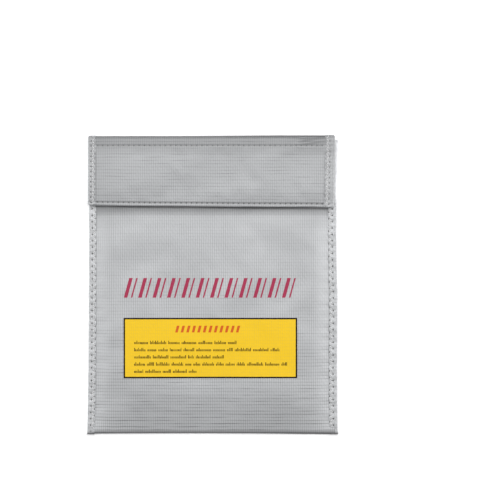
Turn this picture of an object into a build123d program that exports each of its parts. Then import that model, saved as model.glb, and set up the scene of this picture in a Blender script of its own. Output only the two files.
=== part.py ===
"""Fire-resistant envelope bag for lithium battery packs: a flat sewn pocket closed by a folded-over flap.

The bag lies on its back, front up. X runs across it, +Y points to the top fold, and z = 0 is the back's
resting face. All sizes are in millimetres.
"""

import os

from build123d import *

# ---- driving dimensions -------------------------------------------------------------------------
bag_width = 184.0  # over both side bindings
bag_length = 220.0  # bottom fold to top fold
cloth = 0.6  # coated glass-fibre cloth
lining = 0.4
pocket_height = 6.7  # front panel's outer face above the table
bottom_height = 2.6  # the same at the folded bottom
bottom_taper = 24.0  # length over which the pocket flattens towards the bottom fold
shoulder_x = 78.0  # the front panel is flat between these, and slopes to the side seams outside them
seam_x = 86.0  # inner edge of the side bindings
back_flat_x = 83.0  # the back lies flat between these
seam_bottom, seam_top = 0.5, 2.5  # the flattened stack of four layers in a side seam
seam_binding = 0.5  # binding on the pocket's side seams
thin_binding = 0.4  # binding on the flap, the fold and the mouth
hem_depth = 7.0  # hem over the pocket's mouth

flap_width = 182.6
flap_shift = -0.7  # the flap is folded a little to the left
flap_depth = 51.5  # top fold to the flap's lower edge
flap_hem_depth = 6.0
flap_binding_width = 6.0
tape_width, tape_length = 25.0, 152.0  # hook and loop tape
tape_low_y = 66.0
loop_tape, hook_tape = 0.8, 0.7
tape_gap = 0.3

stitch_pitch, stitch_length = 3.85, 3.0
thread_width, thread_height = 0.4, 0.2
zigzag_outer, zigzag_inner = 2.7, 5.0  # needle holes, measured from the bound edge
zigzag_pitch, flap_zigzag_pitch = 4.7, 3.8
seam_end_margin = 2.0  # from the end of a binding to the first needle hole
top_row_inset, hem_row_inset = 6.3, 4.0  # the flap's straight rows, from the fold and from its edge
tape_row_inset = 2.0

print_thickness = 0.1
panel_x, panel_y = -1.5, -46.2
panel_width, panel_height = 128.0, 44.5
panel_border = 0.9
heading_y, heading_height = -1.8, 14.5
heading_bars, heading_bar_pitch, heading_bar_width, heading_slant = 12, 10.6, 7.2, 4.0
header_bar_x, header_bar_y, header_bar_width, header_bar_height = -3.5, -32.2, 48.0, 5.0
line_left, line_top, line_pitch, line_height = -57.6, -42.5, 5.3, 1.6
line_lengths = (75.8, 107.2, 68.6, 114.9, 46.0)
word_lengths = (9.0, 5.5, 12.0, 7.5, 4.0, 10.5)
word_gap = 1.7

hinge_clearance = 0.6  # from a fold line to the end of the cloth on each side of it
layer_step = 0.5  # each inner layer stops this much further from the fold line

# ---- derived places -----------------------------------------------------------------------------
half_width = bag_width / 2
half_length = bag_length / 2
stack_x = half_width - seam_binding  # edge of the cloth inside the side bindings
binding_top = seam_top + seam_binding
mouth_y = half_length - 3.8  # upper edge of the front panel, inside its hem
hem_end_y = mouth_y + thin_binding
hem_width = 2 * shoulder_x
front_thickness = cloth + lining
tape_y = tape_low_y + tape_width / 2

loop_top = pocket_height + loop_tape
hook_bottom = loop_top + tape_gap
facing_bottom = hook_bottom + hook_tape
flap_bottom = facing_bottom + lining
flap_top = flap_bottom + cloth
flap_middle = flap_bottom + cloth / 2
flap_low_y = half_length - flap_depth
flap_cloth_width = flap_width - 2 * thin_binding

fold_outer_y = half_length - thin_binding
fold_inner_y = fold_outer_y - cloth - lining
fold_y = fold_outer_y - cloth / 2  # middle of the cloth that stands in the top fold
lower_fold_z = cloth / 2 + thin_binding  # set so that the open flap lies on the table on its binding
back_end_y = fold_y - hinge_clearance
fold_low_z = lower_fold_z + hinge_clearance + layer_step
fold_high_z = flap_middle - hinge_clearance

os.makedirs("parts", exist_ok=True)


def save(piece, name):
    """Labels a finished piece and writes its STEP file."""
    piece.label = name
    export_step(piece, f"parts/{name}.step")


def section_plane(y):
    """Cross-section plane at y: local x is X, local y is Z, and an extrusion runs towards -Y."""
    return Plane.XZ.offset(-y)


def mirrored(right_side):
    """Closes a section's right half with its mirror image."""
    return right_side + [(-x, z) for x, z in reversed(right_side)]


def front_height(y):
    """Height of the front panel's outer face along its middle."""
    rise = (y + half_length) / bottom_taper
    return bottom_height + (pocket_height - bottom_height) * min(rise, 1.0)


def sleeve_outline(y, inset, edge_x):
    """Section of the pocket at y, moved inwards by a number of layers, out to the seam's cut edge."""
    return mirrored(
        [
            (back_flat_x, inset),
            (seam_x, seam_bottom + inset),
            (edge_x, seam_bottom + inset),
            (edge_x, seam_top - inset),
            (seam_x, seam_top - inset),
            (shoulder_x, front_height(y) - inset),
        ]
    )


def pocket_outline(y):
    """Section of the space inside the lining: it closes to a line at each side seam."""
    return mirrored(
        [
            (back_flat_x, front_thickness),
            (seam_x, (seam_bottom + seam_top) / 2),
            (shoulder_x, front_height(y) - front_thickness),
        ]
    )


def back_outline(inset, thickness):
    """Section of one layer of the back panel where it runs on past the mouth."""
    lower = [(back_flat_x, inset), (seam_x, seam_bottom + inset), (stack_x, seam_bottom + inset)]
    upper = [(x, z + thickness) for x, z in reversed(lower)]
    return mirrored(lower + upper)


def zigzag_points(x_inner, x_outer, y_low, y_high, pitch):
    """Needle holes of one zigzag seam, from the lower end up."""
    steps = int((y_high - y_low) / (pitch / 2))
    return [(x_outer if k % 2 else x_inner, y_low + k * pitch / 2) for k in range(steps + 1)]


def stitches_along(length):
    """Number of straight stitches that fit in a row."""
    return int(length / stitch_pitch)


# ---- pocket: shell and lining -------------------------------------------------------------------
taper_end_y = -half_length + bottom_taper

with BuildPart() as shell_cloth:
    for y in (-half_length, taper_end_y, mouth_y):
        with BuildSketch(section_plane(y)):
            Polygon(*sleeve_outline(y, 0, stack_x))
    loft(ruled=True)
    for y in (-half_length + cloth, taper_end_y, mouth_y):
        with BuildSketch(section_plane(y)):
            Polygon(*sleeve_outline(y, cloth, stack_x))
    loft(ruled=True, mode=Mode.SUBTRACT)
    with BuildSketch(section_plane(back_end_y)):
        Polygon(*back_outline(0, cloth))
    extrude(amount=back_end_y - mouth_y)
save(shell_cloth.part, "shell_cloth")

with BuildPart() as lining_cloth:
    for y in (-half_length + cloth, taper_end_y, mouth_y):
        with BuildSketch(section_plane(y)):
            Polygon(*sleeve_outline(y, cloth, stack_x))
    loft(ruled=True)
    for y in (-half_length + front_thickness, taper_end_y, mouth_y):
        with BuildSketch(section_plane(y)):
            Polygon(*pocket_outline(y))
    loft(ruled=True, mode=Mode.SUBTRACT)
    with BuildSketch(section_plane(back_end_y - layer_step)):
        Polygon(*back_outline(cloth, lining))
    extrude(amount=back_end_y - layer_step - mouth_y)
save(lining_cloth.part, "lining_cloth")

# ---- pocket: side bindings and their zigzag seams -----------------------------------------------
for side, name in ((-1, "left"), (1, "right")):
    with BuildPart() as binding:
        with BuildSketch(section_plane(hem_end_y)):
            with Locations((side * (seam_x + half_width) / 2, binding_top / 2)):
                Rectangle(half_width - seam_x, binding_top)
            with Locations((side * (seam_x + stack_x) / 2, (seam_bottom + seam_top) / 2)):
                Rectangle(stack_x - seam_x, seam_top - seam_bottom, mode=Mode.SUBTRACT)
        extrude(amount=hem_end_y + half_length)
    save(binding.part, f"binding_{name}")

    holes = zigzag_points(
        side * (half_width - zigzag_inner),
        side * (half_width - zigzag_outer),
        -half_length + seam_end_margin,
        hem_end_y - seam_end_margin,
        zigzag_pitch,
    )
    with BuildPart() as seam_stitching:
        for z in (0, binding_top):
            with BuildSketch(Plane.XY.offset(z)):
                with BuildLine():
                    Polyline(*holes)
                trace(line_width=thread_width)
            extrude(amount=thread_height)
    save(seam_stitching.part, f"seam_stitching_{name}")

# ---- pocket: mouth hem and loop tape ------------------------------------------------------------
front_middle_z = pocket_height - front_thickness / 2

with BuildPart() as mouth_hem:
    with BuildSketch(Plane.YZ.offset(-hem_width / 2)):
        with Locations((hem_end_y - hem_depth / 2, front_middle_z)):
            Rectangle(hem_depth, front_thickness + 2 * thin_binding)
        with Locations((mouth_y - hem_depth / 2, front_middle_z)):
            Rectangle(hem_depth, front_thickness, mode=Mode.SUBTRACT)
    extrude(amount=hem_width)
save(mouth_hem.part, "mouth_hem")

with BuildPart() as mouth_hem_stitching:
    with Locations((0, hem_end_y - hem_depth + tape_row_inset, pocket_height + thin_binding)):
        with GridLocations(stitch_pitch, 1, stitches_along(hem_width), 1):
            Box(stitch_length, thread_width, thread_height)
save(mouth_hem_stitching.part, "mouth_hem_stitching")


def tape_stitching(face_z):
    """Rectangle of straight stitches around a tape, sunk into its face."""
    inner_length = tape_length - 2 * tape_row_inset
    inner_width = tape_width - 2 * tape_row_inset
    with BuildPart() as stitching:
        with Locations((0, tape_y, face_z)):
            with GridLocations(stitch_pitch, inner_width, stitches_along(inner_length), 2):
                Box(stitch_length, thread_width, thread_height)
            with GridLocations(inner_length, stitch_pitch, 2, stitches_along(inner_width)):
                Box(thread_width, stitch_length, thread_height)
    return stitching.part


with BuildPart() as loop_strip:
    with BuildSketch(Plane.XY.offset(pocket_height)):
        with Locations((0, tape_y)):
            RectangleRounded(tape_length, tape_width, 1)
    extrude(amount=loop_tape)
save(loop_strip.part, "loop_strip")
save(tape_stitching(loop_top - thread_height / 2), "loop_strip_stitching")

# ---- pocket: printing on the front panel, as plain marks ----------------------------------------
inner_panel = (panel_width - 2 * panel_border, panel_height - 2 * panel_border)

with BuildPart() as print_panel:
    with BuildSketch(Plane.XY.offset(pocket_height)):
        with Locations((panel_x, panel_y)):
            Rectangle(*inner_panel)
    extrude(amount=print_thickness)
save(print_panel.part, "print_panel")

with BuildPart() as print_panel_border:
    with BuildSketch(Plane.XY.offset(pocket_height)):
        with Locations((panel_x, panel_y)):
            Rectangle(panel_width, panel_height)
            Rectangle(*inner_panel, mode=Mode.SUBTRACT)
    extrude(amount=print_thickness)
save(print_panel_border.part, "print_panel_border")

with BuildPart() as print_heading_bars:
    with BuildSketch(Plane.XY.offset(pocket_height)):
        with Locations((panel_x, heading_y)):
            with GridLocations(heading_bar_pitch, 1, heading_bars, 1):
                Polygon(
                    (-(heading_bar_width + heading_slant) / 2, -heading_height / 2),
                    ((heading_bar_width - heading_slant) / 2, -heading_height / 2),
                    ((heading_bar_width + heading_slant) / 2, heading_height / 2),
                    (-(heading_bar_width - heading_slant) / 2, heading_height / 2),
                )
    extrude(amount=print_thickness)
save(print_heading_bars.part, "print_heading_bars")

with BuildPart() as print_panel_header:
    with BuildSketch(Plane.XY.offset(pocket_height + print_thickness)):
        with Locations((header_bar_x, header_bar_y)):
            SlotOverall(header_bar_width, header_bar_height)
    extrude(amount=print_thickness)
save(print_panel_header.part, "print_panel_header")

with BuildPart() as print_panel_lines:
    with BuildSketch(Plane.XY.offset(pocket_height + print_thickness)):
        word = 0
        for row, row_length in enumerate(line_lengths):
            x = line_left
            while x < line_left + row_length - word_gap:
                length = min(word_lengths[word % len(word_lengths)], line_left + row_length - x)
                with Locations((x + length / 2, line_top - row * line_pitch)):
                    Rectangle(length, line_height)
                x += length + word_gap
                word += 1
    extrude(amount=print_thickness)
save(print_panel_lines.part, "print_panel_lines")

# ---- top fold: the strip of cloth between the two fold lines ------------------------------------
fold_cloth_left = flap_shift - flap_cloth_width / 2
fold_cloth_plane = Plane.YZ.offset(fold_cloth_left)
fold_height = fold_high_z - fold_low_z

with BuildPart() as fold_cloth:
    with BuildSketch(fold_cloth_plane):
        with Locations((fold_y, (fold_low_z + fold_high_z) / 2)):
            Rectangle(cloth, fold_height)
    extrude(amount=flap_cloth_width)
save(fold_cloth.part, "fold_cloth")

with BuildPart() as fold_lining:
    with BuildSketch(fold_cloth_plane):
        with Locations((fold_inner_y + lining / 2, (fold_low_z + fold_high_z) / 2)):
            Rectangle(lining, fold_height - 2 * layer_step)
    extrude(amount=flap_cloth_width)
save(fold_lining.part, "fold_lining")

for side, name in ((-1, "left"), (1, "right")):
    edge_x = flap_shift + side * flap_width / 2
    layers = cloth + lining
    with BuildPart() as fold_binding:
        with BuildSketch(Plane.XY.offset(fold_low_z + layer_step)):
            with Locations((edge_x - side * flap_binding_width / 2, half_length - layers / 2 - thin_binding)):
                Rectangle(flap_binding_width, layers + 2 * thin_binding)
            with Locations(
                (edge_x - side * (thin_binding + flap_binding_width) / 2, fold_inner_y + layers / 2)
            ):
                Rectangle(flap_binding_width - thin_binding, layers, mode=Mode.SUBTRACT)
        extrude(amount=fold_height - 2 * layer_step)
    save(fold_binding.part, f"fold_binding_{name}")

# ---- flap ---------------------------------------------------------------------------------------
flap_root_y = back_end_y
facing_root_y = flap_root_y - layer_step
binding_root_y = facing_root_y - layer_step
flap_hem_width = flap_width - 2 * flap_binding_width - 1
hem_bottom = facing_bottom - cloth

with BuildPart() as flap_cloth:
    with BuildSketch(Plane.XY.offset(flap_bottom)):
        with Locations((flap_shift, (flap_low_y + flap_root_y) / 2)):
            Rectangle(flap_cloth_width, flap_root_y - flap_low_y)
    extrude(amount=cloth)
    with BuildSketch(Plane.XY.offset(hem_bottom)):
        with Locations((flap_shift, flap_low_y + flap_hem_depth / 2)):
            Rectangle(flap_hem_width, flap_hem_depth)
    extrude(amount=flap_bottom - hem_bottom)
    with BuildSketch(Plane.XY.offset(facing_bottom)):
        with Locations((flap_shift, flap_low_y + cloth + flap_hem_depth / 2)):
            Rectangle(flap_hem_width, flap_hem_depth)
    extrude(amount=lining, mode=Mode.SUBTRACT)
save(flap_cloth.part, "flap_cloth")

with BuildPart() as flap_facing:
    with BuildSketch(Plane.XY.offset(facing_bottom)):
        with Locations((flap_shift, (flap_low_y + cloth + facing_root_y) / 2)):
            Rectangle(flap_cloth_width, facing_root_y - flap_low_y - cloth)
    extrude(amount=lining)
save(flap_facing.part, "flap_facing")

for side, name in ((-1, "left"), (1, "right")):
    edge_x = flap_shift + side * flap_width / 2
    layers = cloth + lining
    with BuildPart() as flap_binding:
        with BuildSketch(section_plane(binding_root_y)):
            with Locations((edge_x - side * flap_binding_width / 2, facing_bottom + layers / 2)):
                Rectangle(flap_binding_width, layers + 2 * thin_binding)
            with Locations(
                (edge_x - side * (thin_binding + flap_binding_width) / 2, facing_bottom + layers / 2)
            ):
                Rectangle(flap_binding_width - thin_binding, layers, mode=Mode.SUBTRACT)
        extrude(amount=binding_root_y - flap_low_y)
    save(flap_binding.part, f"flap_binding_{name}")

    holes = zigzag_points(
        edge_x - side * zigzag_inner,
        edge_x - side * zigzag_outer,
        flap_low_y + seam_end_margin,
        binding_root_y - seam_end_margin,
        flap_zigzag_pitch,
    )
    with BuildPart() as flap_seam_stitching:
        with BuildSketch(Plane.XY.offset(flap_top + thin_binding - thread_height)):
            with BuildLine():
                Polyline(*holes)
            trace(line_width=thread_width)
        extrude(amount=thread_height)
    save(flap_seam_stitching.part, f"flap_seam_stitching_{name}")

row_count = stitches_along(flap_width - 2 * flap_binding_width)

with BuildPart() as flap_top_stitching:
    with Locations((flap_shift, half_length - top_row_inset, flap_top)):
        with GridLocations(stitch_pitch, 1, row_count, 1):
            Box(stitch_length, thread_width, thread_height)
save(flap_top_stitching.part, "flap_top_stitching")

with BuildPart() as flap_hem_stitching:
    with Locations((flap_shift, flap_low_y + hem_row_inset, flap_top)):
        with GridLocations(stitch_pitch, 1, row_count, 1):
            Box(stitch_length, thread_width, thread_height)
    with Locations((flap_shift, flap_low_y + hem_row_inset, hem_bottom)):
        with GridLocations(stitch_pitch, 1, row_count, 1):
            Box(stitch_length, thread_width, thread_height)
save(flap_hem_stitching.part, "flap_hem_stitching")

with BuildPart() as hook_strip:
    with BuildSketch(Plane.XY.offset(hook_bottom)):
        with Locations((0, tape_y)):
            RectangleRounded(tape_length, tape_width, 1)
    extrude(amount=hook_tape)
save(hook_strip.part, "hook_strip")
save(tape_stitching(hook_bottom + thread_height / 2), "hook_strip_stitching")
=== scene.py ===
"""Silver fire-resistant envelope bag lying on its back, flap closed: its cloth, seams, tape and printing."""

import math

import bpy
import numpy as np
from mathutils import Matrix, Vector


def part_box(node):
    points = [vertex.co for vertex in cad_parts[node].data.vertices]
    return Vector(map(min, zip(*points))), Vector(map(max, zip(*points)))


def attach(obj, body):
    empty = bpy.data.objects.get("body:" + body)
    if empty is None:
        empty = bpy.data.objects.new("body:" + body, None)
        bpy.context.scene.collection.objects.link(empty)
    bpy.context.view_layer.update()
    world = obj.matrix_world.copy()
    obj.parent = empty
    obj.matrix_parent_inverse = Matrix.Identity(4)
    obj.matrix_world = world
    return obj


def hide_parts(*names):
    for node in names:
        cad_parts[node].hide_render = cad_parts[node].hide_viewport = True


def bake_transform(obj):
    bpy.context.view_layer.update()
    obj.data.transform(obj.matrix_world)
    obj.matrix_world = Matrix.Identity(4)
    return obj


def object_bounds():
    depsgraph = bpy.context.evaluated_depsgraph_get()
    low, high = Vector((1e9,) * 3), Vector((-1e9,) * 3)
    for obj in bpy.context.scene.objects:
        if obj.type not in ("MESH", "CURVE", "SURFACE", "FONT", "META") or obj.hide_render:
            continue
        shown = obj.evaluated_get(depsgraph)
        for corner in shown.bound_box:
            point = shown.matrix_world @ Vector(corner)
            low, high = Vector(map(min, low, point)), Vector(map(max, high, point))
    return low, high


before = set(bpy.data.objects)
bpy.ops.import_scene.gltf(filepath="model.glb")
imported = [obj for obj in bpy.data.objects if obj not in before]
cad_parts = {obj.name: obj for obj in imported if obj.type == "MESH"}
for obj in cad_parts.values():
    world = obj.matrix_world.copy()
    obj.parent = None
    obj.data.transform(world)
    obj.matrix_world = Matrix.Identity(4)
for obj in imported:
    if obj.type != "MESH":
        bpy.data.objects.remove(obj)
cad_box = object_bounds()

MM = 0.001


# ---- places, from the frame ---------------------------------------------------------------------
def middle_y(node):
    low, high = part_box(node)
    return (low.y + high.y) / 2


SEAM_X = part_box("binding_right")[0].x  # inner edge of the pocket's side bindings
EDGE_X, SEAM_END_Y, SEAM_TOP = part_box("binding_right")[1]
BOTTOM_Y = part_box("shell_cloth")[0].y
TOP_Y = cad_box[1].y
MOUTH_HEM_LOW_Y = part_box("mouth_hem")[0].y
MOUTH_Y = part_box("mouth_hem")[1].y
MOUTH_ROW_Y = middle_y("mouth_hem_stitching")
FRONT_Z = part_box("loop_strip")[0].z  # outer face of the front panel
TAPE_LOW, TAPE_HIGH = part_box("loop_strip")
FLAP_LOW_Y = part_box("flap_cloth")[0].y
FLAP_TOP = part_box("flap_cloth")[1].z
FLAP_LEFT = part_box("flap_binding_left")[0].x
FLAP_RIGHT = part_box("flap_binding_right")[1].x
FLAP_CENTRE = (FLAP_LEFT + FLAP_RIGHT) / 2
# the photo shows the flap's two rows a little lower than the solids that stand for them
TOP_ROW_Y = middle_y("flap_top_stitching") - 0.7 * MM
HEM_ROW_Y = middle_y("flap_hem_stitching") - 1.4 * MM
FACING_LOW_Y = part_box("flap_facing")[0].y

# ---- cloth, thread and how they lie -------------------------------------------------------------
CLOTH = 0.6 * MM
LINING = 0.4 * MM
BINDING = 0.4 * MM
LINING_INSET = CLOTH + LINING / 2
PANEL_EDGE_Z = 2.5 * MM  # the front panel's outer face, along its seams and its fold
BOTTOM_DEPTH = 2.8 * MM  # how far up the bag the bottom fold reaches
BOTTOM_SQUARENESS = 2.3
FOLD_DEPTH = 3.6 * MM
FOLD_SQUARENESS = 2.9
NOSE_DEPTH = 1.1 * MM  # of the rounded fold of a binding
NOSE_SQUARENESS = 2.4
BODY_TAPE_WIDTH = 5.5 * MM
FLAP_TAPE_WIDTH = 5.8 * MM
FLAP_DROOP = 2.0 * MM  # how much lower the flap's two sides hang
FLAP_TILT = -0.0099  # the flap's lower edge runs slightly downhill to the right
HEM_TURN = 6.3 * MM
THREAD = 0.21 * MM
STITCH = 3.85 * MM
BODY_ZIGZAG = 4.7 * MM
FLAP_ZIGZAG = 3.8 * MM
FOLD_START_Y = 26 * FLAP_ZIGZAG  # the folded strip's own pieces begin here, on the back and on the flap
OUTER_HOLES = 2.7 * MM  # from the binding's outer edge
INNER_HOLES = 5.05 * MM
POCKET_SEAM_SHIFT = {-1: -0.3 * MM, 1: 0.5 * MM}  # how much further in the left and the right seam are sewn
FLAP_SEAM_SHIFT = {-1: -0.3 * MM, 1: 1.2 * MM}
SIDES = (("left", -1), ("right", 1))


def ease(t):
    """0 below 0, 1 above 1, and smooth between."""
    t = np.clip(t, 0, 1)
    return t * t * (3 - 2 * t)


def swell(t):
    """Rises like the side of a cushion: steep at 0 and level at 1."""
    return np.sin(np.clip(t, 0, 1) * math.pi / 2)


def bell(t):
    """1 at 0, and smoothly down to nothing on both sides."""
    return np.exp(-(t**2))


def oval(t, squareness):
    """Cosine and sine for an outline that is round at squareness 2, and nearer to a box above that."""
    return np.abs(np.cos(t)) ** (2 / squareness), np.sign(t) * np.abs(np.sin(t)) ** (2 / squareness)


def half_turn(count):
    """Angles between -90 and 90 degrees, without those two."""
    return np.radians(np.linspace(-90, 90, count)[1:-1])


def steps(start, end, step):
    return np.linspace(start, end, max(2, round(abs(end - start) / step) + 1))


def ripples(x, y, waves, seed):
    """Sum of long, low sine waves at random angles: (wavelength, height) in millimetres for each."""
    random = np.random.default_rng(seed)
    total = 0
    for length, height in waves:
        angle, phase = random.uniform(0, math.pi), random.uniform(0, 2 * math.pi)
        along = x * math.cos(angle) + y * math.sin(angle)
        total = total + height * MM * np.sin(2 * math.pi * along / (length * MM) + phase)
    return total


# ---- cloth simulation ---------------------------------------------------------------------------
def grid_faces(rows, columns):
    index = np.arange(rows * columns).reshape(rows, columns)
    return np.stack([index[:-1, :-1], index[:-1, 1:], index[1:, 1:], index[1:, :-1]], axis=2).reshape(-1, 4)


def slack_panel(width, length, spare, pressure, seed):
    """Heights of a slack panel of cloth held along its edges, on a regular grid, from a short simulation."""
    cell, frames = 4 * MM, 30
    rows, columns = round(length / cell) + 1, round(width / cell) + 1
    x, y = np.meshgrid(np.linspace(-width / 2, width / 2, columns), np.linspace(0, length, rows))
    z = np.random.default_rng(seed).normal(0, 0.05 * MM, x.shape)
    verts = np.stack([x, y, z], axis=2).reshape(-1, 3)
    mesh = bpy.data.meshes.new("slack_panel")
    mesh.from_pydata(verts.tolist(), [], grid_faces(rows, columns).tolist())
    panel = bpy.data.objects.new("slack_panel", mesh)
    bpy.context.scene.collection.objects.link(panel)
    inside = np.zeros((rows, columns), bool)
    inside[1:-1, 1:-1] = True
    held = panel.vertex_groups.new(name="held")
    held.add(np.flatnonzero(~inside.ravel()).tolist(), 1.0, "REPLACE")
    settings = panel.modifiers.new("cloth", "CLOTH").settings
    settings.quality = 6
    settings.mass = 0.3
    settings.vertex_group_mass = "held"
    settings.tension_stiffness = settings.compression_stiffness = 25
    settings.shear_stiffness = 8
    settings.bending_stiffness = 1.2
    settings.shrink_min = settings.shrink_max = -spare
    settings.use_pressure = True
    settings.uniform_pressure_force = pressure
    settings.effector_weights.gravity = 0
    for number in range(1, frames + 1):
        bpy.context.scene.frame_set(number)
    settled = panel.evaluated_get(bpy.context.evaluated_depsgraph_get()).to_mesh()
    points = np.zeros(rows * columns * 3, np.float32)
    settled.vertices.foreach_get("co", points)
    bpy.context.scene.frame_set(1)
    bpy.data.objects.remove(panel)
    return points.reshape(rows, columns, 3)[:, :, 2].astype(float)


def spline_share(distance):
    """Cubic B-spline weight of a grid point at that distance, in cells."""
    d = np.abs(distance)
    return np.where(d < 1, (4 - 6 * d**2 + 3 * d**3) / 6, np.clip(2 - d, 0, None) ** 3 / 6)


def smooth_lookup(field, u, v):
    """Value of a grid of heights at u, v from 0 to 1 across and along it, with no creases between its cells."""
    rows, columns = field.shape
    column = np.clip(u, 0, 1) * (columns - 1)
    row = np.clip(v, 0, 1) * (rows - 1)
    total = 0
    for dr in (-1, 0, 1, 2):
        for dc in (-1, 0, 1, 2):
            r, c = np.floor(row) + dr, np.floor(column) + dc
            share = spline_share(row - r) * spline_share(column - c)
            near = field[np.clip(r, 0, rows - 1).astype(int), np.clip(c, 0, columns - 1).astype(int)]
            total = total + share * near
    return total


PANEL_SLACK = slack_panel(2 * SEAM_X, MOUTH_Y - BOTTOM_Y, spare=0.0016, pressure=0.02, seed=5)
PANEL_SLACK = np.clip(0.6 * (PANEL_SLACK - PANEL_SLACK.mean()), -0.5 * MM, 0.5 * MM)
FLAP_SLACK = slack_panel(FLAP_RIGHT - FLAP_LEFT, TOP_ROW_Y - HEM_ROW_Y, spare=0.0012, pressure=0.0, seed=8)
FLAP_SLACK = np.clip(FLAP_SLACK, -0.4 * MM, 0.4 * MM)


# ---- surfaces -----------------------------------------------------------------------------------
def bottom_lift(x):
    """How far the bottom fold bows up from its straight line: most a little left of the middle."""
    return 0.33 * MM - 0.7 * MM * ((x + 18 * MM) / (100 * MM)) ** 2


def top_lift(x):
    """How far the fold over the top stands above its straight line: more on the right."""
    return 0.33 * MM + 0.5 * MM * ease((x + 40 * MM) / (100 * MM))


def back_middle(x):
    """Height of the back cloth's middle surface: flat, and lifted by the binding at each side."""
    return CLOTH / 2 + 0.5 * MM * ease((np.abs(x) - (SEAM_X - 3 * MM)) / (3 * MM))


def seam_pucker(x, y):
    """Small dimples where the side seams gather the front panel."""
    inside = SEAM_X - np.abs(x)
    near = bell(inside / (7 * MM)) * ease((inside + MM) / MM)
    side = np.where(x > 0, 1.0, 0.0)
    wave = np.sin(math.pi * y / BODY_ZIGZAG + 1.7 * side + 2.4 * np.sin(y / (23 * MM) + side))
    return 0.09 * MM * near * wave


def low_wrinkles(x, y):
    """Fine level wrinkles in the lower part of the front, where the bag has lain folded."""
    fine = np.sin(2 * math.pi * y / (5.9 * MM) + 1.6 * np.sin(x / (29 * MM)))
    coarse = np.sin(2 * math.pi * y / (9.1 * MM) + 2.1 * np.sin(x / (47 * MM) + 1))
    return 0.035 * MM * ease((-55 * MM - y) / (35 * MM)) * (fine + 0.8 * coarse)


def front_outer(x, y):
    """Height of the front panel's outer face: it falls away towards the side seams and the bottom fold."""
    swollen = (FRONT_Z - PANEL_EDGE_Z) * swell((y - BOTTOM_Y) / (36 * MM))
    across = swell((SEAM_X - np.abs(x)) / (15 * MM))
    slack = smooth_lookup(PANEL_SLACK, x / (2 * SEAM_X) + 0.5, (y - BOTTOM_Y) / (MOUTH_Y - BOTTOM_Y))
    relief = slack + ripples(x, y, [(97, 0.10), (53, 0.05)], 3) + low_wrinkles(x, y)
    calm = ease((y - BOTTOM_Y) / (22 * MM)) * across
    dip = 0.9 * MM * bell((y - FLAP_LOW_Y + 2.5 * MM) / (8 * MM))  # pressed in under the flap's edge
    return PANEL_EDGE_Z + (swollen - dip) * across + relief * calm + seam_pucker(x, y)


def flap_shift(x, y):
    """How far the closed flap's cloth lies from its straight place along y: all of it at the lower edge."""
    share = np.clip((TOP_ROW_Y - y) / (TOP_ROW_Y - FLAP_LOW_Y), 0, 1.1)
    return share * (-0.5 * MM + FLAP_TILT * x + ripples(x, 0, [(140, 0.16), (61, 0.10)], 21))


def row_groove(x, y):
    """Depth of the grooves that the flap's two straight rows pull into the cloth, deepest at the needle holes."""
    beat = 1 + 0.35 * np.cos(2 * math.pi * x / STITCH)
    top, hem = bell((y - TOP_ROW_Y) / (0.8 * MM)), bell((y - HEM_ROW_Y) / (0.8 * MM))
    return beat * (0.25 * MM * top + 0.38 * MM * hem)


def corner_wrinkle(x, y):
    """Depth of the crease below the fold's top right corner, with the low ridge beside it."""
    rise, run = math.sin(0.16), math.cos(0.16)
    x, y = x - 75 * MM, y - 108.7 * MM
    along, across = x * run + y * rise, y * run - x * rise
    length = ease((along + 17 * MM) / (11 * MM)) * ease((13 * MM - along) / (7 * MM))
    groove = 0.85 * MM * bell(across / (1.0 * MM))
    ridge = 0.45 * MM * bell((across + 2.6 * MM) / (1.3 * MM))
    return length * (groove - ridge)


def flap_middle(x, y):
    """Height of the flap cloth's middle surface when the bag is closed."""
    droop = FLAP_DROOP * ease((np.abs(x - FLAP_CENTRE) - 68 * MM) / (24 * MM))
    sag = 0.3 * MM * ease((HEM_ROW_Y + 9 * MM - y) / (9 * MM))
    crown = 0.35 * MM * ease((y - TOP_ROW_Y + 2 * MM) / (6 * MM))
    u, v = (x - FLAP_LEFT) / (FLAP_RIGHT - FLAP_LEFT), (y - HEM_ROW_Y) / (TOP_ROW_Y - HEM_ROW_Y)
    relief = ripples(x, y, [(88, 0.08), (41, 0.05)], 11) * ease((TOP_ROW_Y + 2 * MM - y) / (12 * MM))
    height = FLAP_TOP - CLOTH / 2 - droop - sag - crown + smooth_lookup(FLAP_SLACK, u, v) + relief
    return height - row_groove(x, y) - corner_wrinkle(x, y)


def hook_base(x, y):
    """Height of the hook tape's sewn face: it lies against the flap's facing."""
    return flap_middle(x, y) - CLOTH / 2 - LINING


# ---- mesh making --------------------------------------------------------------------------------
def point_row(*columns):
    """A row of points, from a list or a single number for each coordinate."""
    return np.stack(np.broadcast_arrays(*columns), axis=1)


def unit(vectors):
    return vectors / np.maximum(np.linalg.norm(vectors, axis=-1, keepdims=True), 1e-12)


def lengths_along(path):
    """Distance of each point of a path from its first, along it."""
    return np.concatenate([[0], np.cumsum(np.linalg.norm(np.diff(path, axis=0), axis=1))])


def between(places, known, rows):
    """Rows at other places, from the rows at the known places."""
    return np.stack([np.interp(places, known, column) for column in rows.T], axis=-1)


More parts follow.
